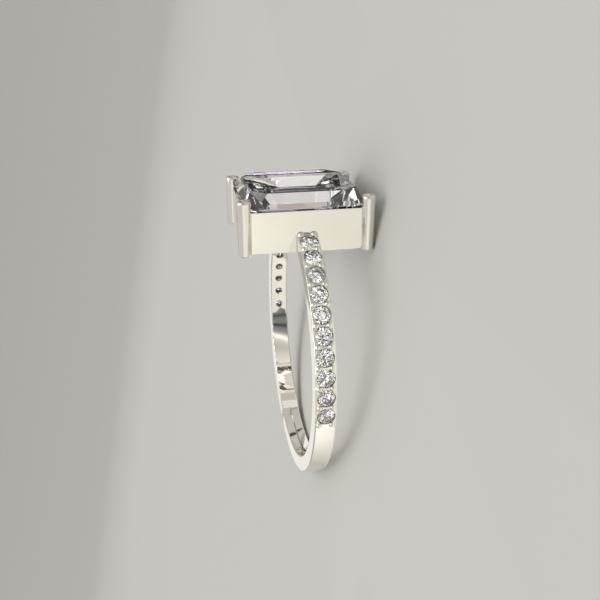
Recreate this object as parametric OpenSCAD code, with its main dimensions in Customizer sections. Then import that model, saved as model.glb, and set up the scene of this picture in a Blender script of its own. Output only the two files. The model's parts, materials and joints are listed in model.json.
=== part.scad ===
// Adjustable ring with a step-cut stone in an open box head and ten round stones down each shoulder.
// Modelled upright round the finger's axis, then laid on its side as it rests by itself. Millimetres.

/* [Shank] */
// Inner diameter of the finger hole
inner_d = 17.3; // [16.5:0.1:18]
// Thickness of the shank, from the finger to the outside
shank_t = 1.11; // [1.05:0.01:1.2]
// Width of the shank along the finger
shank_w = 1.36; // [1.34:0.01:1.5]
// Radius of the shank's long edges
shank_edge_r = 0.07; // [0.04:0.01:0.1]

/* [Adjusting split] */
// Half angle from the bottom of the shank to the cut ends
split_half_angle = 22; // [15:1:26]
// Free space between a tongue's end and the shank, in degrees round the ring
split_gap_angle = 4.5; // [3:0.5:6]
// Width of the lengthwise slit between the two tongues
slit_w = 0.1; // [0.08:0.01:0.15]
// Radius of the rounded corner at the end of each tongue
tongue_r = 0.25; // [0.1:0.05:0.4]

/* [Box head] */
// Size of the box across the finger
head_x = 7.16; // [7.14:0.02:7.3]
// Size of the box along the finger
head_y = 8.2; // [8.16:0.02:8.4]
// Height of the rim above the ring's centre
rim_z = 10.65; // [10.5:0.05:10.8]
// Thickness of the box walls
wall_t = 0.73; // [0.65:0.01:0.8]

/* [Posts] */
// Diameter of each corner post at its top
post_d = 0.94; // [0.88:0.02:0.94]
// Diameter of each corner post at its foot
post_foot_d = 0.84; // [0.8:0.02:0.88]
// Height of the posts above the rim
post_rise = 0.82; // [0.6:0.02:0.9]
// Drop of the posts' feet below the foot of the box's front
post_drop = 0.15; // [0.05:0.01:0.18]
// Radius of the posts' rounded ends
post_end_r = 0.16; // [0.1:0.01:0.17]

/* [Centre stone] */
// Width of the stone across the finger, at the girdle
stone_x = 7; // [6.9:0.05:7]
// Length of the stone along the finger, at the girdle
stone_y = 7.9; // [7.7:0.05:7.9]
// Cut off each corner at the girdle
stone_corner = 0.6; // [0.6:0.02:0.8]
// Height of the girdle's lower edge above the rim
stone_rise = 0.12; // [0.1:0.01:0.2]
// Height of the crown above the girdle
crown_h = 0.92; // [0.8:0.02:1]

/* [Side stones] */
// Stones down each shoulder
side_n = 10; // [8:1:10]
// Diameter of each round stone
side_d = 1.14; // [1.08:0.01:1.14]
// Angle between neighbouring stones round the ring
side_pitch = 7.8; // [7.7:0.1:8]
// Angle of the first stone above the ring's equator
side_first = 64.2; // [64:0.1:64.4]
// Diameter of the hole behind each stone
azure_d = 0.58; // [0.5:0.02:0.64]
// Diameter of the claws between the stones
claw_d = 0.4; // [0.34:0.02:0.42]
// Diameter of the two claws above the first stone
top_claw_d = 0.48; // [0.42:0.02:0.5]

/* [Fit] */
// Gap between a stone and its seat
seat_gap = 0.03; // [0.02:0.005:0.035]

/* [Hidden] */
$fn = 64;
past = 1; // how far a cutter runs past the metal

// Shank
inner_r = inner_d / 2;
outer_r = inner_r + shank_t;
edge_y = shank_w / 2 - shank_edge_r; // middle of the rounding along the shank's edges
edge_out = outer_r - shank_edge_r;

// Box head and posts: the box's foot is where its front meets the finger hole
half_x = head_x / 2;
half_y = head_y / 2;
foot_z = sqrt(inner_r * inner_r - half_x * half_x);
post_x = half_x - 0.1;
post_y = half_y;
post_z = foot_z - post_drop;
post_h = rim_z + post_rise - post_z;
post_end_y = post_y + post_foot_d / 2 - post_end_r; // middle of the rounding at the feet's outer side
dish_r = 0.6; // radius of the dish in each post's top
dish_depth = 0.07;

// Centre stone: each step is [half width, half length, corner cut, height above the ring's centre]
girdle_x = stone_x / 2;
girdle_y = stone_y / 2;
girdle_z = rim_z + stone_rise;
girdle_t = 0.08;
table_y = girdle_y - 0.44;
table_z = girdle_z + girdle_t + crown_h;
seat_step = 0.5; // inset and drop of the pavilion's upper step, which sits on the rim's slope
keel_z = inner_r + 0.12; // just clear of the finger
keel_half = 1.3;
stone_steps = [
    [girdle_x - 0.38, table_y, stone_corner + 0.42, table_z],
    [girdle_x - 0.08, girdle_y - 0.1, stone_corner + 0.12, girdle_z + girdle_t + 0.25],
    [girdle_x, girdle_y, stone_corner, girdle_z + girdle_t],
    [girdle_x, girdle_y, stone_corner, girdle_z],
    [girdle_x - seat_step, girdle_y - seat_step, stone_corner, girdle_z - seat_step],
    [girdle_x - 2, girdle_y - 1.6, stone_corner * 0.5, girdle_z - 1.45]
];

// Side stones: heights count outwards from the middle of the girdle
side_r = side_d / 2;
side_out = outer_r - 0.05; // distance of the girdle from the ring's centre
side_girdle_h = 0.03;
side_crown_h = 0.165 * side_d;
side_table_r = 0.57 * side_r;
side_pavilion_h = 0.43 * side_d;
claw_y = 0.43;
claw_out = outer_r - 0.05; // distance of the claws' middles from the ring's centre

// Resting tilt: the surface touches the feet of two posts and the shank's lower edge
lean_y = post_end_y - edge_y;
lean_z = post_z + post_end_r + edge_out;
rest_tilt = acos((shank_edge_r - post_end_r) / norm([lean_y, lean_z])) - atan2(lean_z, lean_y);
rest_lift = edge_y * cos(rest_tilt) + edge_out * sin(rest_tilt) + shank_edge_r;
head_reach = table_y * sin(rest_tilt) + table_z * cos(rest_tilt);
shank_reach = edge_y * sin(rest_tilt) + edge_out * cos(rest_tilt) + shank_edge_r;
middle_x = (head_reach - shank_reach) / 2;

function two_digits(n) = n < 10 ? str("0", n) : str(n);
function side_name(side, k) = str("side_stone_", side, "_", two_digits(k));

// Turns the upright ring on its side and sets it on the surface
module at_rest() {
    translate([-middle_x, 0, rest_lift]) rotate([rest_tilt - 90, 0, -90]) children();
}

// Carries something to an angle round the ring, with its +Z pointing outwards
module round_ring(angle, side = "near") {
    mirror([side == "far" ? 1 : 0, 0, 0]) rotate([0, 90 - angle, 0]) children();
}

module band_section() {
    e = shank_edge_r;
    translate([inner_r, -edge_y]) square([shank_t, 2 * edge_y]);
    translate([inner_r + e, -shank_w / 2]) square([shank_t - 2 * e, shank_w]);
    for (x = [inner_r + e, edge_out], y = [-edge_y, edge_y]) translate([x, y]) circle(e);
}

// The shank stops halfway through the box's walls
module band() {
    end_x = half_x - wall_t / 2;
    difference() {
        rotate([90, 0, 0]) rotate_extrude() band_section();
        translate([-end_x, -shank_w, 0]) cube([2 * end_x, 2 * shank_w, 2 * outer_r]);
    }
}

module box_walls() {
    difference() {
        translate([-half_x, -half_y, foot_z]) cube([head_x, head_y, rim_z - foot_z]);
        translate([wall_t - half_x, wall_t - half_y, foot_z - past])
            cube([head_x - 2 * wall_t, head_y - 2 * wall_t, rim_z - foot_z + 2 * past]);
        rim_slope();
    }
}

// The finger hole runs on through the foot of the box and of its posts
module box_head() {
    difference() {
        union() {
            box_walls();
            posts();
        }
        rotate([90, 0, 0]) cylinder(r = inner_r, h = 2 * head_y, center = true);
    }
}

// The slope inside the rim is the stone's upper pavilion step, moved out by the gap
module rim_slope() {
    out = seat_gap * sqrt(2);
    x = girdle_x + out;
    y = girdle_y + out;
    loft([
        [x, y, stone_corner, rim_z + past],
        [x, y, stone_corner, girdle_z],
        [x - 2 * seat_step, y - 2 * seat_step, stone_corner, girdle_z - 2 * seat_step]
    ]);
}

// A post widens a little from its foot to its top; both ends are rounded and the top is dished
module post() {
    e = post_end_r;
    foot = [post_foot_d / 2 - e, e]; // middles of the two roundings
    top = [post_d / 2 - e, post_h - e];
    flare = atan((top.x - foot.x) / (top.y - foot.y));
    side = [e * cos(flare), -e * sin(flare)];
    rotate_extrude() difference() {
        union() {
            polygon([[0, 0], [foot.x, 0], foot + side, top + side, [top.x, post_h], [0, post_h]]);
            for (end = [foot, top]) translate(end) circle(e);
        }
        translate([0, post_h + dish_r - dish_depth]) circle(dish_r);
    }
}

module posts() {
    for (x = [-post_x, post_x], y = [-post_y, post_y]) translate([x, y, post_z]) post();
}

// Pairs of small round claws above, between and below the side stones
module claws() {
    for (side = ["near", "far"], k = [0:side_n], y = [-claw_y, claw_y])
        round_ring(side_first + (0.5 - k) * side_pitch, side) translate([0, y, claw_out])
            sphere(d = k == 0 ? top_claw_d : claw_d);
}

// Drilled seat of one side stone, open to the finger through the hole behind it
module side_seat() {
    slope = side_pavilion_h / side_r;
    rim = side_r + seat_gap;
    girdle_top = side_girdle_h / 2 + seat_gap / 2;
    azure_r = azure_d / 2;
    rotate_extrude() polygon([
        [0, -shank_t - past],
        [azure_r, -shank_t - past],
        [azure_r, -girdle_top - (rim - azure_r) * slope],
        [rim, -girdle_top],
        [rim, girdle_top],
        [side_table_r + seat_gap, girdle_top + side_crown_h],
        [side_table_r + seat_gap, past],
        [0, past]
    ]);
}

module side_seats() {
    for (side = ["near", "far"], k = [1:side_n]) at_side_stone(side, k) side_seat();
}

module at_side_stone(side, k) {
    round_ring(side_first - (k - 1) * side_pitch, side) translate([0, 0, side_out]) children();
}

// One slice of a pie round the finger's axis, between two angles counted from the bottom
module slice(from, to, y_from, y_to) {
    r = 2 * outer_r;
    translate([0, y_to, 0]) rotate([90, 0, 0]) linear_extrude(y_to - y_from)
        polygon([[0, 0], for (a = [from, (from + to) / 2, to]) [r * sin(a), -r * cos(a)]]);
}

// Cuts one half of the shank across, at the far side, and rounds the tongue's corner there
module cross_cut() {
    tip = split_half_angle - split_gap_angle;
    slice(-split_half_angle, -tip, -shank_w, slit_w / 2);
    round_ring(-90 - tip) translate([-tongue_r, -slit_w / 2 - tongue_r, inner_r - past])
        difference() {
            cube([2 * tongue_r, tongue_r + slit_w, shank_t + 2 * past]);
            translate([0, 0, -past]) cylinder(r = tongue_r, h = shank_t + 4 * past);
        }
}

// The two half-wide tongues lie side by side, so that the shank can be bent to another size
module adjusting_split() {
    slice(-split_half_angle, split_half_angle, -slit_w / 2, slit_w / 2);
    for (turn = [0, 180]) rotate([0, 0, turn]) cross_cut();
}

module ring_metal() {
    color([0.88, 0.85, 0.8]) difference() {
        union() {
            band();
            box_head();
            claws();
        }
        side_seats();
        adjusting_split();
    }
}

// Corners of one eight-sided step, anticlockwise from above
function step_points(s) = let (x = s[0], y = s[1], c = s[2], z = s[3]) [
    [x, c - y, z], [x, y - c, z], [x - c, y, z], [c - x, y, z],
    [-x, y - c, z], [-x, c - y, z], [c - x, -y, z], [x - c, -y, z]
];

// Closed solid through eight-sided steps, from the top down
module loft(steps) {
    last = len(steps) - 1;
    polyhedron(
        [for (s = steps) each step_points(s)],
        concat(
            [[for (i = [7:-1:0]) i]],
            step_faces(last),
            [[for (i = [0:7]) 8 * last + i]]
        )
    );
}

function step_faces(last) = [
    for (j = [0:last - 1], i = [0:7]) let (n = (i + 1) % 8, a = 8 * j, b = 8 * j + 8)
        [a + i, a + n, b + n, b + i]
];

module centre_stone() {
    last = len(stone_steps) - 1;
    b = 8 * last;
    ends = [b + 8, b + 9]; // the keel's two ends
    color([0.93, 0.94, 0.96]) polyhedron(
        concat(
            [for (s = stone_steps) each step_points(s)],
            [[0, -keel_half, keel_z], [0, keel_half, keel_z]]
        ),
        concat(
            [[for (i = [7:-1:0]) i]],
            step_faces(last),
            [[b, b + 1, ends[1], ends[0]], [b + 4, b + 5, ends[0], ends[1]]],
            [for (i = [1:3]) [b + i, b + i + 1, ends[1]]],
            [for (i = [5:7]) [b + i, b + (i + 1) % 8, ends[0]]]
        )
    );
}

// Round brilliant: table, stars, kites, upper and lower halves and eight long pavilion facets
function turn_point(r, angle, z) = [r * cos(angle), r * sin(angle), z];

module side_stone() {
    g = side_girdle_h / 2;
    star_x = (side_table_r + side_r) / 2; // how far out the kites' side corners lie, along the kite
    star_r = star_x / cos(22.5);
    star_z = g + side_crown_h * (side_r - star_x) / (side_r - side_table_r);
    low_x = 0.22 * side_r; // the same on the pavilion
    low_r = low_x / cos(22.5);
    low_z = -g - side_pavilion_h * (1 - low_x / side_r);
    table = 0;
    star = 8;
    upper = 16;
    lower = 32;
    low = 48;
    culet = 56;
    points = concat(
        [for (k = [0:7]) turn_point(side_table_r, 45 * k, g + side_crown_h)],
        [for (k = [0:7]) turn_point(star_r, 45 * k + 22.5, star_z)],
        [for (k = [0:15]) turn_point(side_r, 22.5 * k, g)],
        [for (k = [0:15]) turn_point(side_r, 22.5 * k, -g)],
        [for (k = [0:7]) turn_point(low_r, 45 * k + 22.5, low_z)],
        [[0, 0, -g - side_pavilion_h]]
    );
    faces = concat(
        [[for (k = [7:-1:0]) table + k]],
        [for (k = [0:7]) [table + k, table + (k + 1) % 8, star + k]],
        [for (k = [0:7]) [table + k, star + k, upper + 2 * k, star + (k + 7) % 8]],
        [for (k = [0:7]) [star + k, upper + 2 * k + 1, upper + 2 * k]],
        [for (k = [0:7]) [star + k, upper + (2 * k + 2) % 16, upper + 2 * k + 1]],
        [for (k = [0:15]) [upper + k, upper + (k + 1) % 16, lower + (k + 1) % 16, lower + k]],
        [for (k = [0:7]) [low + k, lower + 2 * k, lower + 2 * k + 1]],
        [for (k = [0:7]) [low + k, lower + 2 * k + 1, lower + (2 * k + 2) % 16]],
        [for (k = [0:7]) [culet, low + (k + 7) % 8, lower + 2 * k, low + k]]
    );
    color([0.86, 0.86, 0.88]) polyhedron(points, faces);
}

at_rest() ring_metal();
at_rest() centre_stone();
for (side = ["near", "far"], k = [1:side_n])
    at_rest() at_side_stone(side, k) side_stone();
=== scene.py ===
# Looks for the adjustable ring: polished metal, a step-cut centre stone and two rows of round stones.
# Everything is in metres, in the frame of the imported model. The ring lies on its side on a pale floor.

import json
import math

import bmesh
import bpy
from mathutils import Matrix, Vector

millimetre = 0.001

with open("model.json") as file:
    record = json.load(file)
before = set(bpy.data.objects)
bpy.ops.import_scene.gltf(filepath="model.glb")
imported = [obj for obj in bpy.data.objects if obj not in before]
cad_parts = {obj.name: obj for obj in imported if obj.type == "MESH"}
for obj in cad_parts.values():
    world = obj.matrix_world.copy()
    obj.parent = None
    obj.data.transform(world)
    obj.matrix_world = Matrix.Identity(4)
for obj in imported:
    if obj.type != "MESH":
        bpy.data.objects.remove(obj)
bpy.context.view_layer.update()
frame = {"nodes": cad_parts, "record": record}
ringNodes = frame["nodes"]
print("frame loaded,", len(ringNodes), "nodes")

# The ring's own axes as it lies: out through the near shoulder, along the finger, and up to the stone
fingerHole = frame["record"]["mounts"][0]
ringCentre = Vector(fingerHole["pos_m"])
fingerWay = Vector(fingerHole["axis"]).normalized()
nearWay = Vector((0.0, -1.0, 0.0))
headWay = nearWay.cross(fingerWay)


def ringDirection(near, finger, head):
    return nearWay * near + fingerWay * finger + headWay * head


def ringPoint(near, finger, head):
    # a point given in millimetres along the ring's own axes
    return ringCentre + ringDirection(near, finger, head) * millimetre


# Small helpers for objects

def addObject(name, data):
    thing = bpy.data.objects.new(name, data)
    bpy.context.scene.collection.objects.link(thing)
    return thing


def addShape(name, shape):
    mesh = bpy.data.meshes.new(name)
    shape.to_mesh(mesh)
    shape.free()
    return addObject(name, mesh)


def hideFrom(thing, rays):
    for ray in rays:
        setattr(thing, "visible_" + ray, False)


def turnTo(thing, place, target):
    thing.location = place
    thing.rotation_mode = "QUATERNION"
    thing.rotation_quaternion = (Vector(target) - Vector(place)).to_track_quat("-Z", "Y")


# Small helpers for node trees

def newTree(name):
    material = bpy.data.materials.new(name)
    material.use_nodes = True
    material.node_tree.nodes.clear()
    return material, material.node_tree


def addNode(tree, kind, inputs=None, **settings):
    node = tree.nodes.new(kind)
    for key, value in settings.items():
        setattr(node, key, value)
    for key, value in (inputs or {}).items():
        if isinstance(value, bpy.types.NodeSocket):
            tree.links.new(value, node.inputs[key])
        else:
            node.inputs[key].default_value = value
    return node


def objectPlace(tree):
    return addNode(tree, "ShaderNodeTexCoord").outputs["Object"]


def noise(tree, place, scale, detail):
    node = addNode(tree, "ShaderNodeTexNoise", {"Vector": place, "Scale": scale, "Detail": detail})
    return node.outputs["Fac"]


def colourRamp(tree, factor, stops):
    node = addNode(tree, "ShaderNodeValToRGB", {"Fac": factor})
    elements = node.color_ramp.elements
    stops = list(stops)
    while len(elements) < len(stops):
        elements.new(0.5)
    for element, (place, colour) in zip(elements, stops):
        element.position = place
        element.color = (*colour, 1.0)
    return node.outputs["Color"]


def valueRange(tree, value, before, after):
    # turns values between the two of before into values between the two of after
    node = addNode(tree, "ShaderNodeMapRange", {
        "Value": value, "From Min": before[0], "From Max": before[1],
        "To Min": after[0], "To Max": after[1]})
    return node.outputs["Result"]


def finishTree(tree, surface, **others):
    addNode(tree, "ShaderNodeOutputMaterial", {"Surface": surface, **others})


def addGlow(tree, colour):
    shader = addNode(tree, "ShaderNodeEmission", {"Color": colour})
    finishTree(tree, shader.outputs["Emission"])


# Polished metal of the shank, box and posts, with painted shade in its crevices

metalLook = {
    "brightColour": (0.90, 0.88, 0.82),
    "warmColour": (0.86, 0.83, 0.765),
    "cloudScale": 260.0,  # faint clouds in the colour and the gloss
    "cloudDetail": 3.0,
    "colourStops": (0.35, 0.65),
    "roughness": (0.010, 0.030),
    "roughStops": (0.3, 0.7),
    "paintedShade": (0.10, 0.09, 0.08),  # painted shade between claws and stones, where the metal is hemmed in
    "paintedShadeReach": 0.16 * millimetre,
    "paintedShadeStops": (0.2, 0.75),
    "paintedShadeSamples": 6,
    "edgeRadius": 0.05 * millimetre,
    "edgeSamples": 4,
    "scratchScale": 2600.0,  # fine polishing lines, drawn out from the floor up
    "scratchDetail": 2.0,
    "scratchStretch": (1.0, 1.0, 0.12),
    "scratchDepth": 0.0004 * millimetre,
    "scratchStrength": 0.25,
}


def makeMetal():
    look = metalLook
    material, tree = newTree("polished_metal")
    place = objectPlace(tree)
    cloud = noise(tree, place, look["cloudScale"], look["cloudDetail"])
    tone = colourRamp(tree, cloud, zip(look["colourStops"], (look["warmColour"], look["brightColour"])))
    # painted shade: the colour is mixed towards the dark where nearby surfaces hem the metal in
    occlusionProbe = addNode(tree, "ShaderNodeAmbientOcclusion", {"Distance": look["paintedShadeReach"]},
                     samples=look["paintedShadeSamples"])
    paintedShadeAmount = valueRange(tree, occlusionProbe.outputs["AO"], look["paintedShadeStops"], (1.0, 0.0))
    colour = addNode(tree, "ShaderNodeMix", {
        "Factor": paintedShadeAmount, "A": tone, "B": (*look["paintedShade"], 1.0)}, data_type="RGBA")
    rough = valueRange(tree, cloud, look["roughStops"], look["roughness"])

    stretched = addNode(tree, "ShaderNodeMapping", {"Vector": place, "Scale": look["scratchStretch"]})
    lines = noise(tree, stretched.outputs["Vector"], look["scratchScale"], look["scratchDetail"])
    softEdge = addNode(tree, "ShaderNodeBevel", {"Radius": look["edgeRadius"]},
                       samples=look["edgeSamples"])
    bump = addNode(tree, "ShaderNodeBump", {
        "Strength": look["scratchStrength"], "Distance": look["scratchDepth"], "Height": lines,
        "Normal": softEdge.outputs["Normal"]})
    shader = addNode(tree, "ShaderNodeBsdfPrincipled", {
        "Base Color": colour.outputs["Result"], "Metallic": 1.0, "Roughness": rough,
        "Normal": bump.outputs["Normal"]})
    finishTree(tree, shader.outputs["BSDF"])
    return material


# Cut stones: clear, bent light, and a little grey with depth

centreLook = {
    "name": "centre_stone_clear",
    "tint": (0.985, 0.975, 0.985),
    "cloudTint": (0.965, 0.955, 0.975),
    "cloudScale": 420.0,
    "cloudDetail": 2.0,
    "tintStops": (0.4, 0.6),
    "roughness": 0.0,
    "lightBend": 2.15,
    "depthColour": (0.10, 0.06, 0.04),
    "depthDensity": 22.0,
}

sideLook = {
    **centreLook,
    "name": "side_stone_clear",
    "tint": (0.97, 0.965, 0.96),
    "cloudTint": (0.93, 0.92, 0.91),
    "depthDensity": 60.0,
}


def makeStone(look):
    material, tree = newTree(look["name"])
    cloud = noise(tree, objectPlace(tree), look["cloudScale"], look["cloudDetail"])
    tint = colourRamp(tree, cloud, zip(look["tintStops"], (look["cloudTint"], look["tint"])))
    shader = addNode(tree, "ShaderNodeBsdfPrincipled", {
        "Base Color": tint, "Roughness": look["roughness"], "IOR": look["lightBend"],
        "Transmission Weight": 1.0})
    depth = addNode(tree, "ShaderNodeVolumeAbsorption", {
        "Color": (*look["depthColour"], 1.0), "Density": look["depthDensity"]})
    finishTree(tree, shader.outputs["BSDF"], Volume=depth.outputs["Volume"])
    return material


def dress(node, material):
    for holder in ringNodes[node].material_slots:
        holder.material = material


dress("ring_metal", makeMetal())
dress("centre_stone", makeStone(centreLook))
sideStone = makeStone(sideLook)
for name in sorted(ringNodes):
    if name.startswith("side_stone"):
        dress(name, sideStone)
print("materials on", len(ringNodes), "nodes")

# Floor that sweeps up all round, so that every view has the same pale ground

floorLook = {
    "flatRadius": 0.60,
    "sweepRadius": 0.60,
    "wallTop": 0.62,
    "segments": 96,
    "sweepSteps": 16,
    "mergeDistance": 0.001 * millimetre,
    "colour": (0.66, 0.66, 0.645),
    "roughness": 0.9,
    "gloss": 0.2,
}


def floorMaterial():
    look = floorLook
    material, tree = newTree("pale_floor")
    shader = addNode(tree, "ShaderNodeBsdfPrincipled", {
        "Base Color": (*look["colour"], 1.0), "Roughness": look["roughness"],
        "Specular IOR Level": look["gloss"]})
    finishTree(tree, shader.outputs["BSDF"])
    return material


def makeFloor():
    look = floorLook
    profile = [(0.0, 0.0), (look["flatRadius"], 0.0)]
    for step in range(1, look["sweepSteps"] + 1):
        turn = math.radians(90) * step / look["sweepSteps"]
        profile.append((look["flatRadius"] + look["sweepRadius"] * math.sin(turn),
                        look["sweepRadius"] * (1 - math.cos(turn))))
    profile.append((look["flatRadius"] + look["sweepRadius"], look["wallTop"]))
    shape = bmesh.new()
    line = [shape.verts.new((radius, 0.0, height)) for radius, height in profile]
    edges = [shape.edges.new(pair) for pair in zip(line, line[1:])]
    bmesh.ops.spin(shape, geom=line + edges, axis=(0, 0, 1), cent=(0, 0, 0),
                   steps=look["segments"], angle=math.tau)
    bmesh.ops.remove_doubles(shape, verts=shape.verts, dist=look["mergeDistance"])
    bmesh.ops.recalc_face_normals(shape, faces=shape.faces)
    floor = addShape("floor", shape)
    floor.data.shade_smooth()
    floor.data.materials.append(floorMaterial())


makeFloor()
print("floor ready")

# Soft studio light: an even room and one big panel overhead

lightLook = {
    "room": (0.64, 0.62, 0.60),
    "panelPlace": (0.0, -0.09, 0.72),
    "panelFaces": (0, 0, 0),
    "panelSize": (0.72, 0.72),
    "panelWatts": 2.0,
    "panelColour": (1.0, 0.98, 0.94),
}


def makeLights():
    look = lightLook
    room = bpy.data.worlds.new("soft_room")
    bpy.context.scene.world = room
    room.use_nodes = True
    room.node_tree.nodes["Background"].inputs["Color"].default_value = (*look["room"], 1.0)
    panel = bpy.data.lights.new("overhead", "AREA")
    panel.shape = "RECTANGLE"
    panel.size, panel.size_y = look["panelSize"]
    panel.energy = look["panelWatts"]
    panel.color = look["panelColour"]
    lamp = addObject("overhead", panel)
    hideFrom(lamp, ["camera"])
    turnTo(lamp, look["panelPlace"], look["panelFaces"])


# Glowing cards round the ring, which only show in its reflections and through its stones.
# Each says what shows it (all, metal or stones), its place, what it faces, its width and height, and its
# colours. Where a card has several colours, run says how they go. A card's turn is in degrees.
# Many of the cards face one of these spots:

stoneMiddle = (0.009, 0.0, 0.005)
stoneTop = (0.009, 0.002, 0.009)
stoneFoot = (0.009, 0.0, 0.004)
firstSideStones = (0.0075, -0.006, 0.0045)

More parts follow.
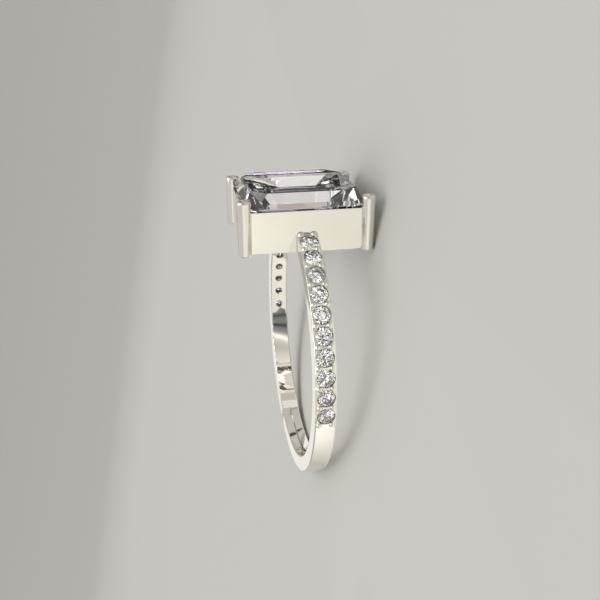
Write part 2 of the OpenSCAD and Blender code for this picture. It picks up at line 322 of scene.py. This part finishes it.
cardLook = {
    # pale light on the near side, and pale ground under the ring
    "near_soft": {
        "shownBy": "all", "place": (-0.075, -0.178, 0.045), "faces": (0.008, -0.004, 0.009),
        "size": (0.16, 0.14), "run": "round", "colours": [(0.62, 0.60, 0.58), (1.05, 1.03, 0.98)]},
    "near_floor": {
        "shownBy": "metal", "place": (0.0, -0.033, 0.00005), "faces": "down",
        "size": (0.018, 0.054), "run": "up", "colours": [(1.06, 1.04, 0.96), (0.84, 0.82, 0.75)]},
    "band_floor": {
        "shownBy": "metal", "place": (-0.010, -0.011, 0.0001), "faces": "down",
        "size": (0.0075, 0.009), "run": "up",
        "colours": [(1.35, 1.32, 1.24), (1.05, 1.03, 0.97), (0.55, 0.54, 0.51)]},
    "hole_floor": {
        "shownBy": "metal", "place": (-0.0021, -0.0008, 0.0001), "faces": "down",
        "size": (0.0132, 0.010), "run": "up", "colours": [(0.86, 0.84, 0.78), (0.98, 0.96, 0.89)]},
    "stone_floor": {
        "shownBy": "stones", "place": (-0.002, 0.004, 0.0001), "faces": "down",
        "size": (0.013, 0.014), "colours": [(1.36, 1.34, 1.27)]},
    # dark and light stripes along the far half's inside
    "inner_stripes": {
        "shownBy": "metal", "place": (0.0007, -0.0052, 0.00112), "faces": (0.0007, -0.00482, 0.00205),
        "size": (0.0074, 0.0052), "run": "across",
        "colours": [(0.28, 0.28, 0.26), (0.09, 0.09, 0.09), (0.22, 0.22, 0.21), (0.24, 0.24, 0.23),
                    (0.06, 0.06, 0.06), (0.24, 0.24, 0.23), (0.30, 0.30, 0.28), (0.52, 0.51, 0.48),
                    (1.12, 1.10, 1.03), (1.12, 1.10, 1.03), (0.82, 0.80, 0.75), (0.68, 0.67, 0.62),
                    (0.63, 0.62, 0.58), (0.61, 0.60, 0.56), (0.60, 0.59, 0.55)]},
    # low pale light on both sides of the ring, and the bright line along the shank
    "near_side": {
        "shownBy": "metal", "place": (0.043, -0.042, 0.0021), "faces": (-0.006, 0.007, 0.0021),
        "size": (0.018, 0.0040), "run": "across", "colours": [(0.60, 0.59, 0.55), (0.90, 0.88, 0.82)]},
    "far_side": {
        "shownBy": "metal", "place": (0.160, 0.120, 0.0062), "faces": (0, 0, 0.0062),
        "size": (0.16, 0.012), "colours": [(0.56, 0.55, 0.52)]},
    "shank_line": {
        "shownBy": "all", "place": (-0.11, 0.22, 0.014), "faces": (0, 0, 0.004),
        "size": (0.15, 0.03), "colours": [(0.92, 0.90, 0.86)]},
    # three walls beyond the head, side by side
    "head_mild": {
        "shownBy": "all", "place": (0.235, 0.004, 0.014), "faces": (0, 0.004, 0.006),
        "size": (0.044, 0.05), "colours": [(0.58, 0.57, 0.55)]},
    "head_white": {
        "shownBy": "all", "place": (0.235, 0.0445, 0.014), "faces": (0, 0.0445, 0.006),
        "size": (0.037, 0.05), "colours": [(0.86, 0.84, 0.82)]},
    "head_pink": {
        "shownBy": "stones", "place": (0.235, 0.081, 0.014), "faces": (0, 0.081, 0.006),
        "size": (0.036, 0.05), "colours": [(0.56, 0.49, 0.43)]},
    # lilac edge, pale windows and the white spark of the centre stone
    "lilac_low": {
        "shownBy": "stones", "place": (0.200, 0.007, 0.016), "faces": (0.0, 0.007, 0.006),
        "size": (0.020, 0.028), "colours": [(7.40, 6.80, 8.40)]},
    "lilac_high": {
        "shownBy": "stones", "place": (0.21, 0.020, 0.094), "faces": stoneFoot,
        "size": (0.036, 0.036), "colours": [(4.20, 3.90, 5.00)]},
    "stone_sky": {
        "shownBy": "stones", "place": (0.112, -0.070, 0.212), "faces": stoneFoot,
        "size": (0.13, 0.13), "colours": [(1.00, 0.98, 0.94)]},
    "stone_front": {
        "shownBy": "stones", "place": (0.200, -0.048, 0.142), "faces": stoneFoot,
        "size": (0.18, 0.06), "colours": [(1.70, 1.66, 1.56)]},
    "white_spark": {
        "shownBy": "stones", "place": (0.0162, 0.0, 0.00012), "faces": "down",
        "size": (0.005, 0.0045), "colours": [(2.40, 2.30, 2.20)]},
    # dark and grey patches that set off the facets, the posts and the shank's edges
    "dark_far": {
        "shownBy": "all", "place": (0.067, 0.106, 0.0001), "faces": "down", "turn": -29,
        "size": (0.020, 0.18), "colours": [(0.10, 0.10, 0.10)]},
    "dark_beside": {
        "shownBy": "all", "place": (0.033, 0.080, 0.0002), "faces": "down", "turn": -15,
        "size": (0.014, 0.142), "colours": [(0.06, 0.06, 0.06)]},
    "dark_end": {
        "shownBy": "all", "place": (-0.011, 0.195, 0.058), "faces": stoneTop,
        "size": (0.036, 0.036), "colours": [(0.28, 0.27, 0.26)]},
    "dark_above": {
        "shownBy": "stones", "place": (-0.187, 0.026, 0.233), "faces": stoneTop,
        "size": (0.10, 0.10), "colours": [(0.06, 0.06, 0.06)]},
    "dark_behind": {
        "shownBy": "stones", "place": (-0.055, 0.176, 0.200), "faces": (0.009, 0.003, 0.005),
        "size": (0.10, 0.10), "colours": [(0.08, 0.08, 0.08)]},
    "grey_floor": {
        "shownBy": "stones", "place": (0.0146, 0.0053, 0.00012), "faces": "down",
        "size": (0.0046, 0.0040), "colours": [(0.22, 0.215, 0.21)]},
    "dark_top": {
        "shownBy": "stones", "place": (0.124, 0.022, 0.192), "faces": stoneMiddle,
        "size": (0.045, 0.045), "colours": [(0.75, 0.74, 0.72)]},
    "dark_spot": {
        "shownBy": "stones", "place": (0.0936, -0.0816, 0.167), "faces": stoneMiddle,
        "size": (0.022, 0.022), "colours": [(0.05, 0.05, 0.05)]},
    "dark_side": {
        "shownBy": "stones", "place": (0.106, 0.175, 0.0085), "faces": stoneMiddle,
        "size": (0.03, 0.03), "colours": [(0.16, 0.16, 0.16)]},
    "grey_end": {
        "shownBy": "stones", "place": (0.0154, 0.0020, 0.00015), "faces": "down",
        "size": (0.0030, 0.0022), "colours": [(0.12, 0.12, 0.12)]},
    "grey_front": {
        "shownBy": "stones", "place": (0.048, -0.004, 0.0002), "faces": "down",
        "size": (0.014, 0.010), "colours": [(0.80, 0.78, 0.75)]},
    # last lights and darks in the centre stone's corners and between its steps
    "lilac_side": {
        "shownBy": "stones", "place": (0.053, -0.092, 0.0002), "faces": "down", "turn": 25,
        "size": (0.024, 0.13), "colours": [(1.80, 1.75, 2.00)]},
    "lilac_top": {
        "shownBy": "stones", "place": (0.030, 0.051, 0.197), "faces": stoneMiddle,
        "size": (0.035, 0.035), "colours": [(16.0, 15.6, 15.6)]},
    "grey_corner": {
        "shownBy": "stones", "place": (-0.136, -0.116, 0.080), "faces": (0.012, -0.004, 0.005),
        "size": (0.040, 0.040), "colours": [(0.28, 0.27, 0.26)]},
    "dark_gap": {
        "shownBy": "stones", "place": (0.055, -0.037, 0.0015), "faces": (0.010, 0.002, 0.0028),
        "size": (0.038, 0.0026), "colours": [(0.02, 0.018, 0.015)]},
    # pale light in the first side stones
    "first_low": {
        "shownBy": "stones", "place": (0.0821, -0.1352, 0.0202), "faces": firstSideStones,
        "size": (0.036, 0.030), "colours": [(1.15, 1.12, 1.06)]},
    "first_middle": {
        "shownBy": "stones", "place": (0.0984, -0.0969, 0.0818), "faces": firstSideStones,
        "size": (0.036, 0.036), "colours": [(1.15, 1.12, 1.06)]},
    # pale light that reaches the band's inside through the centre stone
    "band_side": {
        "shownBy": "stones", "place": (0.071, -0.080, 0.0042), "faces": (0.0105, 0.0, 0.0052),
        "size": (0.032, 0.008), "colours": [(1.50, 1.47, 1.38)]},
    "band_top": {
        "shownBy": "stones", "place": (0.0588, 0.0796, 0.1816), "faces": stoneMiddle,
        "size": (0.040, 0.040), "colours": [(1.60, 1.56, 1.46)]},
}

# the kind of light path that a card is hidden from, by what shows it
hiddenPaths = {"all": [], "metal": ["transmission"], "stones": ["glossy"]}


def cardMaterial(name, run, colours):
    # the colours run across the card, up it, or from its rim to its middle, and a flat card has only one
    material, tree = newTree(name)
    place = addNode(tree, "ShaderNodeTexCoord").outputs["Generated"]
    if run == "round":
        # the card's middle goes to zero, where the round gradient is brightest
        centred = addNode(tree, "ShaderNodeVectorMath", {0: place, 1: (2, 2, 0), 2: (-1, -1, 0)},
                          operation="MULTIPLY_ADD")
        amount = addNode(tree, "ShaderNodeTexGradient", {"Vector": centred.outputs["Vector"]},
                         gradient_type="SPHERICAL").outputs["Fac"]
    else:
        sides = addNode(tree, "ShaderNodeSeparateXYZ", {"Vector": place}).outputs
        amount = sides["Y" if run == "up" else "X"]
    if run == "flat":
        colours = colours * 2  # the ramp needs two
    last = len(colours) - 1
    addGlow(tree, colourRamp(tree, amount, [(i / last, colour) for i, colour in enumerate(colours)]))
    return material


def makeCard(name, card):
    right, top = card["size"][0] / 2, card["size"][1] / 2
    corners = [(-right, -top, 0), (right, -top, 0), (right, top, 0), (-right, top, 0)]
    mesh = bpy.data.meshes.new(name)
    mesh.from_pydata(corners, [], [(0, 1, 2, 3)])
    mesh.transform(Matrix.Rotation(math.radians(card.get("turn", 0)), 4, "Z"))
    mesh.materials.append(cardMaterial(name, card.get("run", "flat"), card["colours"]))
    thing = addObject(name, mesh)
    straightDown = (*card["place"][:2], -1.0)
    turnTo(thing, card["place"], straightDown if card["faces"] == "down" else card["faces"])
    hideFrom(thing, ["camera", "diffuse", "shadow", *hiddenPaths[card["shownBy"]]])


# Patches of dark and light that only show through the stones, so that their facets sparkle

sparkleLook = {
    "skyRadius": 0.30,
    "skyFineness": 4,
    "skyScale": 16.0,
    "floorSize": 0.60,
    "floorScale": 200.0,
    "lift": 0.03 * millimetre,  # keeps the patches clear of the floor
    # where each colour begins, as a share of the patches
    "patches": [(0.00, (0.03, 0.03, 0.03)), (0.40, (0.10, 0.095, 0.09)), (0.47, (0.42, 0.40, 0.39)),
                (0.66, (0.62, 0.59, 0.60)), (0.76, (1.7, 1.65, 1.6)), (1.00, (3.1, 3.0, 2.9))],
}


def addPatchwork(name, shape, scale):
    material, tree = newTree(name)
    cells = addNode(tree, "ShaderNodeTexVoronoi", {"Vector": objectPlace(tree), "Scale": scale})
    pick = addNode(tree, "ShaderNodeSeparateXYZ", {"Vector": cells.outputs["Color"]})
    addGlow(tree, colourRamp(tree, pick.outputs["X"], sparkleLook["patches"]))
    patchwork = addShape(name, shape)
    patchwork.data.materials.append(material)
    patchwork.location.z = sparkleLook["lift"]
    hideFrom(patchwork, ["camera", "diffuse", "glossy", "shadow"])


def makeSparkle():
    look = sparkleLook
    sky = bmesh.new()
    bmesh.ops.create_icosphere(sky, subdivisions=look["skyFineness"], radius=look["skyRadius"])
    addPatchwork("sparkle_sky", sky, look["skyScale"])
    ground = bmesh.new()
    bmesh.ops.create_grid(ground, x_segments=1, y_segments=1, size=look["floorSize"] / 2)
    addPatchwork("sparkle_floor", ground, look["floorScale"])


makeLights()
for name, card in cardLook.items():
    makeCard(name, card)
makeSparkle()
print("light ready, with", len(cardLook), "cards")

# Camera at the photo's angle to the ring, above the floor, turned so that the stone is at the top of the
# picture. Its place, in millimetres, and its directions are given along the ring's own axes.

cameraLook = {
    "place": (47.815, -8.923, 23.302),
    "right": (0.1875, 0.9823, -0.0008),
    "up": (-0.3789, 0.0731, 0.9226),
    "lens": 43.41,
    "sensor": 36.0,
    "nearest": 1 * millimetre,
    "farthest": 5.0,
}


def makeCamera():
    look = cameraLook
    data = bpy.data.cameras.new("camera")
    data.lens = look["lens"]
    data.sensor_width = look["sensor"]
    data.clip_start = look["nearest"]
    data.clip_end = look["farthest"]
    camera = addObject("camera", data)
    right = ringDirection(*look["right"]).normalized()
    back = right.cross(ringDirection(*look["up"])).normalized()
    up = back.cross(right)
    turn = Matrix((right, up, back)).transposed()
    camera.matrix_world = Matrix.Translation(ringPoint(*look["place"])) @ turn.to_4x4()
    bpy.context.scene.camera = camera


# The stones' many facets need more bounces of light than usual. These are Blender's own names for them.
bounceLook = {
    "glossy_bounces": 8,
    "transmission_bounces": 16,
    "max_bounces": 20,
}

makeCamera()
bpy.context.scene.view_settings.view_transform = "Standard"
for name, count in bounceLook.items():
    setattr(bpy.context.scene.cycles, name, count)
print("camera ready")
